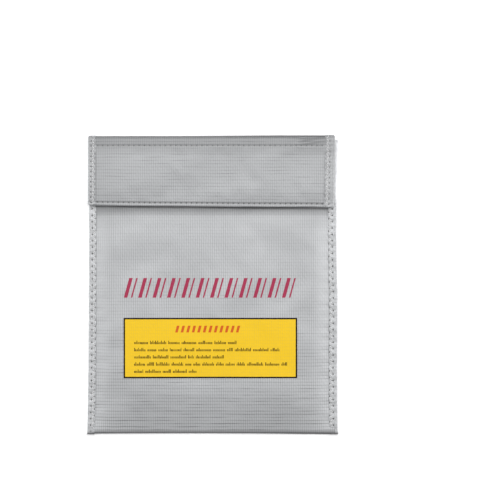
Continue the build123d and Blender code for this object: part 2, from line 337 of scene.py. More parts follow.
def new_object(name, verts, faces, material, uv, place=None):
    """A mesh object from points and faces, with two pairs of cloth coordinates for each point."""
    mesh = bpy.data.meshes.new(name)
    mesh.from_pydata([tuple(map(float, v)) for v in verts], [], [tuple(map(int, f)) for f in faces])
    mesh.polygons.foreach_set("use_smooth", [True] * len(mesh.polygons))
    corner = np.zeros(len(mesh.loops), np.int32)
    mesh.loops.foreach_get("vertex_index", corner)
    for layer_name, pairs in (("weave", uv), ("place", uv if place is None else place)):
        layer = mesh.uv_layers.new(name=layer_name)
        layer.data.foreach_set("uv", np.asarray(pairs, np.float32)[corner].ravel())
    mesh.materials.append(material)
    mesh.set_sharp_from_angle(angle=math.radians(50))
    obj = bpy.data.objects.new(name, mesh)
    bpy.context.scene.collection.objects.link(obj)
    return obj


def grid_normals(grid):
    """Unit normals of a grid of points: the columns' direction crossed with the rows'."""
    return unit(np.cross(np.gradient(grid, axis=1), np.gradient(grid, axis=0)))


def closed_faces(rows, columns):
    """Faces of a sheet's two sides and its rim, for a grid of points followed by the other side's points."""
    count = rows * columns
    side = grid_faces(rows, columns)
    index = np.arange(count).reshape(rows, columns)
    rim = np.concatenate([index[0, :-1], index[:-1, -1], index[-1, :0:-1], index[:0:-1, 0]])
    after = np.roll(rim, -1)
    edge = np.stack([after, rim, rim + count, after + count], axis=1)
    return np.concatenate([side, side[:, ::-1] + count, edge])


def arc_lengths(grid):
    """Distance across and along a grid of points, as its cut piece of cloth would measure flat."""
    across = np.linalg.norm(np.diff(grid, axis=1), axis=2).mean(0)
    along = np.linalg.norm(np.diff(grid, axis=0), axis=2).mean(1)
    u = np.concatenate([[0], np.cumsum(across)])
    v = np.concatenate([[0], np.cumsum(along)])
    return np.stack(np.meshgrid(u - u.mean(), v), axis=2)


def sheet_mesh(name, grid, thickness, material, offset=0.0, place=None):
    """A closed sheet of cloth round a grid of middle points; offset moves it along its normals."""
    normal = grid_normals(grid)
    sides = [(grid + normal * (offset + half)).reshape(-1, 3) for half in (thickness / 2, -thickness / 2)]
    uv = arc_lengths(grid).reshape(-1, 2)
    place = uv if place is None else place.reshape(-1, 2)
    pairs = np.concatenate([uv, uv]), np.concatenate([place, place])
    return new_object(name, np.concatenate(sides), closed_faces(*grid.shape[:2]), material, *pairs)


def tubes(name, paths, radius, material, sides=6):
    """One mesh of short lengths of thread: each path is a list of points, and its ends are closed."""
    verts, faces, uvs = [], [], []
    ring = np.arange(sides) * 2 * math.pi / sides
    cosine, sine = np.cos(ring)[:, None], np.sin(ring)[:, None]
    for path in paths:
        tangent = unit(np.gradient(path, axis=0))
        side = unit(np.cross(tangent, (0.03, 0.02, 1.0)))
        up = np.cross(side, tangent)
        first, last = len(verts), len(verts) + (len(path) - 1) * sides
        spokes = cosine * side[:, None] + sine * up[:, None]
        verts += (path[:, None] + radius * spokes).reshape(-1, 3).tolist()
        u, v = np.meshgrid(np.arange(sides) * radius, lengths_along(path))
        uvs += np.stack([u, v], axis=2).reshape(-1, 2).tolist()
        for start in range(first, last, sides):
            for j in range(sides):
                a, b = start + j, start + (j + 1) % sides
                faces.append((b, a, a + sides, b + sides))
        faces.append(tuple(range(first, first + sides)))
        faces.append(tuple(range(last + sides - 1, last - 1, -1)))
    return new_object(name, verts, faces, material, uvs)


def arch(a, b, up, rise, sink):
    """Points of one stitch: up out of the hole at a, along the cloth, and down into the hole at b."""
    t = np.linspace(0, 1, 9)[:, None]
    height = rise * np.sin(math.pi * t) ** 0.5 - sink * (np.abs(2 * t - 1) ** 6)
    return a + (b - a) * t + np.asarray(up) * height


# ---- materials ----------------------------------------------------------------------------------
class Value:
    """A node's output. Arithmetic on it adds Math nodes."""

    def __init__(self, nodes, socket):
        self.nodes, self.socket = nodes, socket

    def clamped(self):
        """The same value kept from 0 to 1, by the node that makes it."""
        self.socket.node.use_clamp = True
        return self

    def __add__(self, other):
        return self.nodes.math("ADD", self, other)

    def __sub__(self, other):
        return self.nodes.math("SUBTRACT", self, other)

    def __rsub__(self, other):
        return self.nodes.math("SUBTRACT", other, self)

    def __mul__(self, other):
        return self.nodes.math("MULTIPLY", self, other)

    def __truediv__(self, other):
        return self.nodes.math("DIVIDE", self, other)

    def __pow__(self, other):
        return self.nodes.math("POWER", self, other)

    def __abs__(self):
        return self.nodes.math("ABSOLUTE", self)


class Nodes:
    """Short forms for building a material's node tree."""

    def __init__(self, name):
        self.material = bpy.data.materials.new(name)
        self.material.use_nodes = True
        self.tree = self.material.node_tree
        self.shader = self.tree.nodes["Principled BSDF"]

    def add(self, kind, **settings):
        node = self.tree.nodes.new(kind)
        for key, value in settings.items():
            setattr(node, key, value)
        return node

    def put(self, socket, value):
        if isinstance(value, Value):
            self.tree.links.new(value.socket, socket)
        else:
            socket.default_value = value

    def math(self, operation, *values):
        node = self.add("ShaderNodeMath", operation=operation)
        for socket, value in zip(node.inputs, values):
            self.put(socket, value)
        return Value(self, node.outputs[0])

    def mix(self, share, first, second, blend="MIX"):
        node = self.add("ShaderNodeMix", data_type="RGBA", blend_type=blend)
        self.put(node.inputs["Factor"], share)
        self.put(node.inputs[6], first)
        self.put(node.inputs[7], second)
        return Value(self, node.outputs[2])

    def noise(self, vector, scale, detail):
        node = self.add("ShaderNodeTexNoise")
        self.put(node.inputs["Vector"], vector)
        node.inputs["Scale"].default_value = scale
        node.inputs["Detail"].default_value = detail
        return Value(self, node.outputs["Fac"])

    def coordinates(self, layer):
        """A named pair of cloth coordinates in millimetres: the vector, its first number and its second."""
        uv = self.add("ShaderNodeUVMap", uv_map=layer).outputs["UV"]
        scale = self.add("ShaderNodeVectorMath", operation="SCALE")
        self.put(scale.inputs[0], Value(self, uv))
        scale.inputs["Scale"].default_value = 1 / MM
        vector = Value(self, scale.outputs[0])
        split = self.add("ShaderNodeSeparateXYZ")
        self.put(split.inputs[0], vector)
        return vector, Value(self, split.outputs["X"]), Value(self, split.outputs["Y"])

    def stretched(self, vector, across, along):
        node = self.add("ShaderNodeVectorMath", operation="MULTIPLY")
        self.put(node.inputs[0], vector)
        node.inputs[1].default_value = (across, along, 1.0)
        return Value(self, node.outputs[0])

    def bump(self, height, distance, strength):
        node = self.add("ShaderNodeBump")
        node.inputs["Strength"].default_value = strength
        node.inputs["Distance"].default_value = distance
        self.put(node.inputs["Height"], height)
        return Value(self, node.outputs["Normal"])

    def surface(self, colour, normal, roughness, metallic=0.0):
        self.put(self.shader.inputs["Base Color"], colour)
        self.put(self.shader.inputs["Normal"], normal)
        self.put(self.shader.inputs["Roughness"], roughness)
        self.shader.inputs["Metallic"].default_value = metallic
        return self.material


# every length in the materials is in millimetres of cloth, and a noise's scale is for each millimetre
WARP, WEFT = 1.62, 2.38  # pitch of the woven yarns
LINING_WARP, LINING_WEFT = 1.1, 1.3
YARN_RELIEF = 0.06 * MM  # in metres, as the bump node wants it
HOLE_RADIUS = 0.85  # of the painted shade round a needle hole
HIGHLIGHT_EDGE_WIDTH = 2.8  # how far in from its outer edge a binding gets its painted highlight
COOL_TINT = (0.962, 0.978, 1.0, 1.0)


def grey(value):
    return (value, value, value, 1.0)


def woven(nodes, warp=WARP, weft=WEFT):
    """A plain weave of flat yarns: cloth coordinates, height of the surface, and the gaps between yarns."""
    vector, u, v = nodes.coordinates("weave")
    wander = (nodes.noise(vector, 0.05, 1.0) - 0.5) * 0.8
    warp_wave = nodes.math("SINE", (u + wander) * (math.pi / warp))
    weft_wave = nodes.math("SINE", (v + wander) * (math.pi / weft))
    warp_rise, weft_rise = abs(warp_wave), abs(weft_wave)
    over_under = warp_wave * weft_wave
    fibres = nodes.mix(
        nodes.math("GREATER_THAN", over_under, 0.0),
        nodes.noise(nodes.stretched(vector, 0.9, 7.0), 1.0, 1.0),
        nodes.noise(nodes.stretched(vector, 7.0, 0.9), 1.0, 1.0),
    )
    height = warp_rise**0.4 * weft_rise**0.4 + over_under * 0.45 + fibres * 0.5
    return vector, height, (1.0 - warp_rise) ** 2.0, (1.0 - weft_rise) ** 3.0


def weft_streaks_and_shade(nodes, vector, fade):
    """How dark the gaps between weft yarns are: in long streaks, with painted shade that grows down the front
    where fade is given.
    """
    share = nodes.noise(nodes.stretched(vector, 0.05, 0.45), 1.0, 1.0) ** 2.0 * 4.0
    if fade is None:
        return share
    start, length, least, most = fade
    _, _, y = nodes.coordinates("place")
    return share * (((start - y) / length).clamped() ** 2.0 * (most - least) + least)


def needle_holes(nodes, rows):
    """How dark the painted shade in each needle hole is: each row is (its axis, place across that, pitch, first
    hole, darkness).
    """
    _, x, y = nodes.coordinates("place")
    total = None
    for axis, across, pitch, first, dark in rows:
        along, away = (x, y) if axis == "x" else (y, x)
        beat = nodes.math("WRAP", along - first, pitch / 2, -pitch / 2)
        far = nodes.math("SQRT", beat**2.0 + (away - across) ** 2.0)
        hole = ((HOLE_RADIUS - far) * 2.6).clamped() * dark
        total = hole if total is None else nodes.math("MAXIMUM", total, hole)
    return total


def darken_painted_shade(nodes, colour, shade_bands):
    """Darkens the coating with painted shade in bands along folds, grooves and under the flap's edge: each is (its
    height up the bag, its slope, its half width, darkness).
    """
    _, x, y = nodes.coordinates("place")
    for at, slope, width, dark in shade_bands:
        level = y - x * slope if slope else y
        near = (1.0 - abs(level - at) / width).clamped()
        colour = nodes.mix(near**0.7 * dark, colour, grey(0.04))
    return colour


def painted_corner_light(nodes, colour):
    """Lightens the cloth towards the two bottom corners: painted light over the shade that the front's slopes give
    them there.
    """
    _, x, y = nodes.coordinates("place")
    out, down = ((abs(x) - 55.0) / 25.0).clamped(), ((-78.0 - y) / 20.0).clamped()
    return nodes.mix(out * down, colour, grey(1.15), blend="MULTIPLY")


def painted_edge_highlight(nodes, colour, start):
    """Paints a highlight on a binding's outer edge, lightening it towards white from the place start upwards."""
    _, away, along = nodes.coordinates("place")
    share = (HIGHLIGHT_EDGE_WIDTH - away).clamped() * ((along - start) / 9.0).clamped() * 0.7
    return nodes.mix(share, colour, grey(0.93))


def silver_cloth(
    name, tone, holes=(), shade_bands=(), metallic=0.25, roughness=0.5, warp=WARP, weft=WEFT, depth=0.62,
    fade=None, highlight_from=None, mottle=0.0,
):
    """Silver coated cloth. depth is how dark the gaps between its yarns are, and mottle how blotched it is."""
    nodes = Nodes(name)
    vector, height, warp_gap, weft_gap = woven(nodes, warp, weft)
    cloud = nodes.noise(vector, 0.03, 3.0)
    fleck = nodes.noise(vector, 1.3, 2.0)
    patch = nodes.noise(vector, 0.09, 2.0)
    colour = nodes.mix(cloud, grey(tone * 0.95), grey(tone * 1.05))
    colour = nodes.mix(fleck * 0.3, colour, grey(tone * 0.82))
    gap = warp_gap * (patch + 0.35) + weft_gap * (fleck + 0.25) * weft_streaks_and_shade(nodes, vector, fade)
    colour = nodes.mix((gap * depth).clamped(), colour, grey(tone * 0.3))
    if fade:
        colour = painted_corner_light(nodes, colour)
    if mottle:
        blot = ((nodes.noise(vector, 0.75, 1.0) - 0.48) * 4.0).clamped()
        colour = nodes.mix(blot * mottle, colour, grey(tone * 0.45))
    if shade_bands:
        colour = darken_painted_shade(nodes, colour, shade_bands)
    if highlight_from is not None:
        colour = painted_edge_highlight(nodes, colour, highlight_from)
    if holes:
        colour = nodes.mix(needle_holes(nodes, holes), colour, grey(0.03))
    tint = nodes.mix(1.0, colour, COOL_TINT, blend="MULTIPLY")
    rough = fleck * 0.14 + (roughness - 0.07)
    return nodes.surface(tint, nodes.bump(height, YARN_RELIEF, 0.6), rough, metallic)


def thread_material(name, tone):
    """Twisted thread: its strands run round it at a slant."""
    nodes = Nodes(name)
    _, u, v = nodes.coordinates("weave")
    strand = abs(nodes.math("SINE", v * 7.0 + u * 3.0))
    colour = nodes.mix(strand, grey(tone * 0.7), grey(tone))
    return nodes.surface(colour, nodes.bump(strand, 0.05 * MM, 0.6), 0.6)


def ink(name, colour, under=0.2):
    """Printed ink: it lies on the crowns of the weave and thins out in some of the gaps between yarns."""
    nodes = Nodes(name)
    vector, height, warp_gap, weft_gap = woven(nodes)
    patch = nodes.noise(vector, 0.4, 4.0)
    dark = [0.8 * part for part in colour]
    shade = nodes.mix(patch * 0.2, (*colour, 1.0), (*dark, 1.0))
    worn = nodes.mix(nodes.math("MAXIMUM", warp_gap, weft_gap) * patch * 0.2, shade, grey(under))
    nodes.shader.inputs["Specular IOR Level"].default_value = 0.12
    return nodes.surface(worn, nodes.bump(height, YARN_RELIEF, 0.4), 0.6)


def nap_material(name, tone):
    """Black hook-and-loop tape: fine fibres that catch a little light."""
    nodes = Nodes(name)
    vector, _, _ = nodes.coordinates("weave")
    fibre = nodes.noise(vector, 3.2, 5.0)
    colour = nodes.mix(fibre, grey(tone * 0.4), grey(tone * 1.9))
    nodes.shader.inputs["Sheen Weight"].default_value = 0.25
    return nodes.surface(colour, nodes.bump(fibre, 0.3 * MM, 0.8), 0.75)


def zigzag_holes(pitch, outer_dark, inner_dark):
    """The two rows of needle holes along a binding, half a pitch apart."""
    return [
        ("y", OUTER_HOLES / MM, pitch / MM, 0.0, outer_dark),
        ("y", INNER_HOLES / MM, pitch / MM, pitch / MM / 2, inner_dark),
    ]


FLAP_ROWS = [
    ("x", TOP_ROW_Y / MM, STITCH / MM, 0.0, 0.4),
    ("x", HEM_ROW_Y / MM, STITCH / MM, 0.0, 0.6),
]
# painted shade: along the hem row's groove, and over the fold at the top of the flap
FLAP_SHADE_BANDS = [
    (HEM_ROW_Y / MM, 0, 1.2, 0.33),
    (TOP_Y / MM - 6.2, 0, 8.5, 0.24),
    (TOP_Y / MM, 0, 7.5, 0.26),
    (TOP_Y / MM + 0.5, 0, 1.8, 0.75),
]
# painted shade along the bottom fold, and the painted shadow under the flap's lower edge
POCKET_SHADE_BANDS = [
    (BOTTOM_Y / MM, 0, 1.6, 0.5),
    (BOTTOM_Y / MM, 0, 3.3, 0.75),
    (FLAP_LOW_Y / MM - 2.0, 0, 5.5, 0.5),
    (FLAP_LOW_Y / MM - 7.0, 0, 10.0, 0.14),
    (FLAP_LOW_Y / MM - 0.9, FLAP_TILT, 1.5, 0.6),
]
# painted shade: on the pocket's bindings at the bottom fold, and on the flap's bindings below the top fold
TAPE_SHADE_BANDS = [(BOTTOM_Y / MM, 0, 2.0, 0.85)]
FLAP_TAPE_SHADE_BANDS = [(TOP_Y / MM - 4.0, 0, 13.0, 0.2)]
# the weft gaps' painted shade grows from this height down, over this length, from least to most
FRONT_FADE = (45.0, 145.0, 0.3, 1.5)
TAPE_WEAR = {"depth": 0.3, "mottle": 0.45}
SHELL = silver_cloth("silver_cloth", 0.555, shade_bands=POCKET_SHADE_BANDS, depth=0.5, fade=FRONT_FADE)
FLAP_SHELL = silver_cloth("silver_flap_cloth", 0.472, holes=FLAP_ROWS, shade_bands=FLAP_SHADE_BANDS, depth=0.42)
BODY_TAPE = silver_cloth(
    "silver_body_binding", 0.63, zigzag_holes(BODY_ZIGZAG, 1.0, 0.75), TAPE_SHADE_BANDS,
    highlight_from=FLAP_LOW_Y / MM, **TAPE_WEAR,
)
FLAP_TAPE = {
    side: silver_cloth(
        "silver_flap_binding_" + name, tone, zigzag_holes(FLAP_ZIGZAG, dark, dark / 2), FLAP_TAPE_SHADE_BANDS,
        **TAPE_WEAR,
    )
    for name, side, tone, dark in (("left", -1, 0.52, 1.0), ("right", 1, 0.49, 0.6))
}
LINING_CLOTH = silver_cloth(
    "glass_lining", 0.55, metallic=0.0, roughness=0.75, warp=LINING_WARP, weft=LINING_WEFT, depth=0.3
)
SEWING_THREAD = thread_material("grey_thread", 0.85)
# a darker copy of the grey thread: painted shade for the grooves that the flap's two rows lie in
SHADED_ROW_THREAD = thread_material("shaded_row_thread", 0.36)
LOOP_PILE = nap_material("black_loop_pile", 0.022)
HOOK_TAPE = nap_material("black_hook_tape", 0.018)
YELLOW_INK = ink("yellow_ink", (0.95, 0.613, 0.023))
BLACK_INK = ink("black_ink", (0.014, 0.008, 0.004), under=0.03)
CRIMSON_INK = ink("crimson_ink", (0.41, 0.038, 0.092))
ORANGE_INK = ink("orange_ink", (0.70, 0.125, 0.013))


# ---- what a piece moves with ---------------------------------------------------------------------
# the two halves of the fold: the bodies that each bends between, from where to where
BLENDS = {
    "lower": ("pocket", "fold", (0, 106.44 * MM, -2.33 * MM), (0, 110.88 * MM, 3.90 * MM)),
    "upper": ("fold", "flap", (0, 110.88 * MM, 5.60 * MM), (0, 106.44 * MM, 11.83 * MM)),
}


def finish_piece(piece, holder, slot, *nodes):
    """Attaches a piece to the body it rides on, or bakes its place into its mesh when its holder is a half of the
    fold, and hides the solids it stands for; slot, what it is made of, is not used.
    """
    if holder in BLENDS:
        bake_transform(piece)
    else:
        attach(piece, holder)
    if nodes:
        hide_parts(*nodes)
    return piece


# ---- pocket -------------------------------------------------------------------------------------
def front_row(x, y, lift):
    """A row of points at height y up the bag, lifted off the front panel's outer face."""
    return point_row(x, y, front_outer(x, y) + lift)


def pocket_grid(inset, half_width, step, top_y):
    """Middle surface of a layer that runs down the back, round the bottom fold and up the front."""
    x = steps(-half_width, half_width, step)
    turn_y = BOTTOM_Y + BOTTOM_DEPTH
    reach = BOTTOM_DEPTH - 0.2 * MM - inset - bottom_lift(x)
    back, front = back_middle(x) + inset - CLOTH / 2, front_outer(x, turn_y) - inset
    middle, half = (front + back) / 2, (front - back) / 2
    rows = [point_row(x, y, back) for y in steps(FOLD_START_Y, turn_y, 4 * MM)]
    for t in half_turn(13):
        cosine, sine = oval(t, BOTTOM_SQUARENESS)
        rows.append(point_row(x, turn_y - reach * cosine, middle + half * sine))
    return np.stack(rows + [front_row(x, y, -inset) for y in steps(turn_y, top_y, step)])


def make_pocket():
    half_width = EDGE_X - 1.4 * MM
    grid = pocket_grid(CLOTH / 2, half_width, 1.25 * MM, MOUTH_Y - 0.9 * MM)
    cloth = sheet_mesh("pocket_cloth", grid, CLOTH, SHELL, place=grid[:, :, :2])
    finish_piece(cloth, "pocket", "shell_fabric", "shell_cloth")
    grid = pocket_grid(LINING_INSET, half_width, 2 * MM, MOUTH_Y - 1.5 * MM)
    lining = sheet_mesh("pocket_lining", grid, LINING, LINING_CLOTH)
    return cloth, finish_piece(lining, "pocket", "lining_fabric", "lining_cloth")


def make_mouth_hem():
    """A band of cloth folded over the pocket's mouth: outer leg, roll and inner leg."""
    x = steps(-SEAM_X, SEAM_X, 1.5 * MM)
    roll_y, stack = MOUTH_Y - 0.8 * MM, CLOTH + LINING
    leg = steps(MOUTH_HEM_LOW_Y, roll_y, 0.8 * MM)
    rows = [front_row(x, y, LINING / 2) for y in leg]
    for t in half_turn(9)[::-1]:
        row = front_row(x, roll_y, -stack / 2)
        rows.append(row + (0, 0.6 * MM * math.cos(t), (stack + LINING) / 2 * math.sin(t)))
    rows += [front_row(x, y, -stack - LINING / 2) for y in leg[::-1]]
    grid = np.stack(rows)
    dent = 0.16 * MM * bell((grid[:, :, 1] - MOUTH_ROW_Y) / (0.8 * MM))
    grid[:, :, 2] -= dent * np.where(np.arange(len(rows)) < len(rows) / 2, 1, -1)[:, None]
    hem = sheet_mesh("mouth_hem_band", grid, LINING, SHELL, place=grid[:, :, :2])
    return finish_piece(hem, "pocket", "shell_fabric", "mouth_hem")


def straight_row(y, low_x, high_x, height, shift=None, below=0.0):
    """Paths of a row of stitches along x, on both faces when below gives the depth of the far one."""
    paths = []
    drop = np.array([STITCH / 2, 0, -below])
    for k in range(math.ceil(low_x / STITCH), math.floor(high_x / STITCH)):
        ends = (k + 0.08) * STITCH, (k + 0.92) * STITCH
        a, b = (np.array([x, y + (shift(x, y) if shift else 0), height(x, y)]) for x in ends)
        paths.append(arch(a, b, (0, 0, 1), 0.18 * MM, 0.5 * MM))
        if below:
            paths.append(arch(a + drop, b + drop, (0, 0, -1), 0.12 * MM, 0.4 * MM))
    return paths


# ---- bindings -----------------------------------------------------------------------------------
class Rail:
    """A raw edge to be bound: its points, the way in across the cloth, the way up, half its thickness, its places
    along the seam, and how much further in than usual that seam is sewn."""

    def __init__(self, edge, inward, up, half, along, seam):
        self.edge, self.half, self.along, self.seam = edge, half, along, seam
        self.inward, self.up = (unit(np.broadcast_to(way, edge.shape)) for way in (inward, up))

    def at(self, along, away, height):
        """The point that far along the edge, that far in from it and that far above the bound edge's middle."""
        edge, inward, up = (between(along, self.along, rows) for rows in (self.edge, self.inward, self.up))
        return edge + inward * away + up * height

    def top(self, along):
        """Height of the binding's face above the bound edge's middle."""
        return np.interp(along, self.along, self.half) + BINDING


def dents(away, along, pitch):
    """How deep the zigzag's two rows of needle holes pull the binding in."""
    depth = 0
    for row, phase in ((OUTER_HOLES, 0.0), (INNER_HOLES, pitch / 2)):
        beat = (along - phase + pitch / 2) % pitch - pitch / 2
        depth = depth + bell(beat / (0.9 * MM)) * bell((away - row) / (0.8 * MM))
    return 0.30 * MM * depth


def bound_edge(name, rail, width, pitch, material):
    """Binding tape folded round a rail: upper leg, rounded nose and lower leg."""
    leg = steps(width + rail.seam, NOSE_DEPTH, 0.4 * MM)
    cosine, sine = oval(half_turn(11)[::-1], NOSE_SQUARENESS)
    away = np.concatenate([leg, NOSE_DEPTH * (1 - cosine), leg[::-1]])
    rise = np.concatenate([np.ones(len(leg)), sine, -np.ones(len(leg))])
    pull = dents(away - rail.seam, rail.along[:, None], pitch)
    height = rise * (rail.half[:, None] + BINDING / 2) - np.sign(rise) * pull
    grid = rail.edge[:, None] + rail.inward[:, None] * away[:, None] + rail.up[:, None] * height[:, :, None]
    place = np.stack(np.broadcast_arrays(away - rail.seam, rail.along[:, None]), axis=2)
    if (grid_normals(grid)[0, 0] * rail.up[0]).sum() < 0:
        grid, place = grid[:, ::-1], place[:, ::-1]
    return sheet_mesh(name, grid, BINDING, material, place=place)


def zigzag(rail, low, high, pitch):
    """Paths of the zigzag stitches on both faces of a bound edge."""
    paths = []
    spare = 1e-6  # keeps a stitch that starts at low or ends at high
    for k in range(math.ceil(2 * low / pitch - spare), math.floor(2 * high / pitch + spare)):
        for face, rise in ((1, 0.2 * MM), (-1, 0.05 * MM)):
            ends = []
            for step in (k, k + 1):
                along, away = step * pitch / 2, INNER_HOLES if step % 2 else OUTER_HOLES
                ends.append(rail.at(along, away + rail.seam, face * (rail.top(along) - 0.12 * MM)))
            a, b = ends
            gap = 0.06 * (b - a)
            paths.append(arch(a + gap, b - gap, face * rail.up[len(rail.up) // 2], rise, 0.45 * MM))
    return paths


def side_lean(side, y):
    """How far the pocket's side edge stands out from its straight line: side is 1 at the right, -1 at the left."""
    if side < 0:
        return -0.75 * MM + 0.9 * MM * ease((-10 * MM - y) / (95 * MM))
    top = 1.45 * MM * ease((y - 56 * MM) / (50 * MM))
    return -0.55 * MM + top + 0.75 * MM * ease((48 * MM - y) / (60 * MM))


def pocket_rail(side):
    """The side seam of the pocket, from the bottom corner to the mouth, where it thins to the flap's binding."""
    y = steps(BOTTOM_Y - 0.2 * MM, SEAM_END_Y + 0.9 * MM, 0.55 * MM)
    wave = ripples(y, 0, [(71, 0.09), (29, 0.05), (9.7, 0.04)], 31 + side)
    tip = 0.5 * MM * np.exp(-((y - BOTTOM_Y) / (4 * MM)))
    x = side * (EDGE_X + side_lean(side, y) + wave + tip)
    puff = 1 + ripples(y, 0, [(13, 0.06), (5.3, 0.042)], 41 + side) / MM
    half = (SEAM_TOP / 2 - BINDING - 0.05 * MM) * puff * (0.72 + 0.28 * ease((y - BOTTOM_Y) / (9 * MM)))
    end = ease((y - MOUTH_Y + 0.9 * MM) / (1.6 * MM))
    half = half * (1 - end) + 0.55 * MM * end
    edge = point_row(x, y, half + BINDING + 0.04 * MM)
    return Rail(edge, (-side, 0.0, 0.0), (0.0, 0.0, 1.0), half, y, POCKET_SEAM_SHIFT[side])


def flap_edge(side, y):
    """Place of the flap's side edge: at both sides it runs a little askew."""
    down = np.clip((FOLD_START_Y - y) / (FOLD_START_Y - FLAP_LOW_Y), 0, 1)
    if side < 0:
        return FLAP_LEFT + 0.6 * MM - 0.3 * MM * down
    return FLAP_RIGHT - 0.5 * MM - 0.8 * MM * down


def flap_rail(side):
    """The flap's side edge, from its lower corner to where the fold starts."""
    y = steps(FLAP_LOW_Y + 0.5 * MM, FOLD_START_Y, 0.5 * MM)
    wave = ripples(y, 0, [(47, 0.08), (12, 0.04)], 51 + side)
    corner = 0.3 * MM * np.exp(-((y - FLAP_LOW_Y) / (3 * MM))) if side < 0 else 0
    x = flap_edge(side, y) + side * (wave + corner)
    edge = point_row(x, y + flap_shift(x, y), flap_middle(x - side * 3 * MM, y) - LINING / 2)
    slope = (flap_middle(x - side * 6 * MM, y) - flap_middle(x - side * MM, y)) / (5 * MM)
    inward = point_row(-side, 0.0, slope)
    up = np.cross(inward, (0.0, side, 0.0))
    half = np.full_like(y, (CLOTH + LINING) / 2)
    return Rail(edge, inward, up * np.sign(up[:, 2:3]), half, y, FLAP_SEAM_SHIFT[side])


# ---- flap and fold ------------------------------------------------------------------------------
def flap_columns():
    return steps(FLAP_LEFT + 1.0 * MM, FLAP_RIGHT - 1.9 * MM, 0.9 * MM)


def flap_row(x, y, drop=0.0):
    """Points along x at the nominal height y up the bag, drop below the cloth's middle, and their places."""
    return point_row(x, y + flap_shift(x, y), flap_middle(x, y) - drop, x, y)


def make_flap_cloth():
    """The flap's outer cloth, with its lower edge turned under: short inner leg, roll and outer face."""
    x = flap_columns()
    under = LINING + CLOTH
    roll_y, roll, fine_y = FLAP_LOW_Y + 0.85 * MM, 0.55 * MM, HEM_ROW_Y + 2.4 * MM
    rows = [flap_row(x, y, under) for y in steps(FLAP_LOW_Y + HEM_TURN, roll_y, 0.9 * MM)]
    for t in half_turn(9):
        row = flap_row(x, roll_y, under / 2)
        rows.append(row + (0, -roll * math.cos(t), under / 2 * math.sin(t), 0, 0))
    rows += [flap_row(x, y) for y in steps(roll_y, fine_y, 0.4 * MM)]
    rows += [flap_row(x, y) for y in steps(fine_y, FOLD_START_Y, 1.1 * MM)[1:]]
    grid = np.stack(rows)
    cloth = sheet_mesh("flap_outer_cloth", grid[..., :3], CLOTH, FLAP_SHELL, place=grid[..., 3:])
    return finish_piece(cloth, "flap", "shell_fabric", "flap_cloth")


def make_flap_facing():
    x = flap_columns()[::2]
    rows = [flap_row(x, y)[:, :3] for y in steps(FACING_LOW_Y + 0.4 * MM, FOLD_START_Y, 1.5 * MM)]
    facing = sheet_mesh("flap_inner_facing", np.stack(rows), LINING, LINING_CLOTH, offset=-(CLOTH + LINING) / 2)
    return finish_piece(facing, "flap", "lining_fabric", "flap_facing")


def fold_grid(x, part):
    """Points like flap_row's of the strip over the top: part is upper (flap to apex) or lower (apex to back)."""
    turn_y = TOP_Y - CLOTH / 2 - 0.1 * MM - FOLD_DEPTH
    back, front = back_middle(x), flap_middle(x, turn_y)
    middle, half = (front + back) / 2, (front - back) / 2
    first, last = (90, 0) if part == "upper" else (0, -90)
    turn = []
    for t in np.radians(np.linspace(first, last, 14)):
        cosine, sine = oval(t, FOLD_SQUARENESS)
        y = turn_y + (FOLD_DEPTH + top_lift(x)) * cosine
        crease = (corner_wrinkle(x, y) - corner_wrinkle(x, turn_y)) * max(0, math.sin(t))
        turn.append(point_row(x, y, middle + half * sine - crease, x, y))
    if part == "upper":
        return np.stack([flap_row(x, y) for y in steps(FOLD_START_Y, turn_y, 0.4 * MM)[:-1]] + turn)
    return np.stack(turn + [point_row(x, y, back, x, y) for y in steps(turn_y, FOLD_START_Y, 1.2 * MM)[1:]])


def fold_rail(side, part):
    """The folded strip's side edge."""
    edge_x = flap_edge(side, FOLD_START_Y)
    grid = fold_grid(np.sort([edge_x - side * 3 * MM, edge_x - side * 2.9 * MM]), part)[..., :3]
    if part == "lower":
        grid = grid[grid[:, 0, 1] > FOLD_START_Y + 1.2 * MM]  # it begins inside the pocket, where nothing turns
    normal = grid_normals(grid)[:, 0]
    edge = grid[:, 0] - normal * LINING / 2
    edge[:, 0] = edge_x
    length = lengths_along(edge)
    fine = steps(0, length[-1], 0.5 * MM)
    edge, up = between(fine, length, edge), between(fine, length, normal)
    half = np.full(len(edge), (CLOTH + LINING) / 2)
    return Rail(edge, (-side, 0.0, 0.0), up, half, FOLD_START_Y + fine, FLAP_SEAM_SHIFT[side])


def make_fold():
    """The strip over the top edge, as pieces for the two halves of the fold."""
    pieces = {}
    for part in ("upper", "lower"):
        grid = fold_grid(flap_columns(), part)
        sheet, place = grid[..., :3], grid[..., 3:]
        cloth = sheet_mesh("fold_cloth_" + part, sheet, CLOTH, FLAP_SHELL, place=place)
        lining = sheet_mesh("fold_lining_" + part, sheet, LINING, LINING_CLOTH, offset=-(CLOTH + LINING) / 2)
        pieces["cloth", part] = finish_piece(cloth, part, "shell_fabric", "fold_cloth")
        pieces["lining", part] = finish_piece(lining, part, "lining_fabric", "fold_lining")
        for name, side in SIDES:
            rail = fold_rail(side, part)
            binding = f"fold_binding_{name}_{part}"
            tape = bound_edge(binding, rail, FLAP_TAPE_WIDTH, FLAP_ZIGZAG, FLAP_TAPE[side])
            pieces[name, part] = finish_piece(tape, part, "binding_fabric", f"fold_binding_{name}")
            stitches = zigzag(rail, rail.along[0], rail.along[-1], FLAP_ZIGZAG)
            thread = tubes(f"fold_thread_{name}_{part}", stitches, THREAD, SEWING_THREAD)
            pieces["thread " + name, part] = finish_piece(thread, part, "thread")
    return pieces


# ---- hook and loop tape -------------------------------------------------------------------------
LOOP_BACKING = 0.4 * MM
HOOK_BACKING = 0.3 * MM


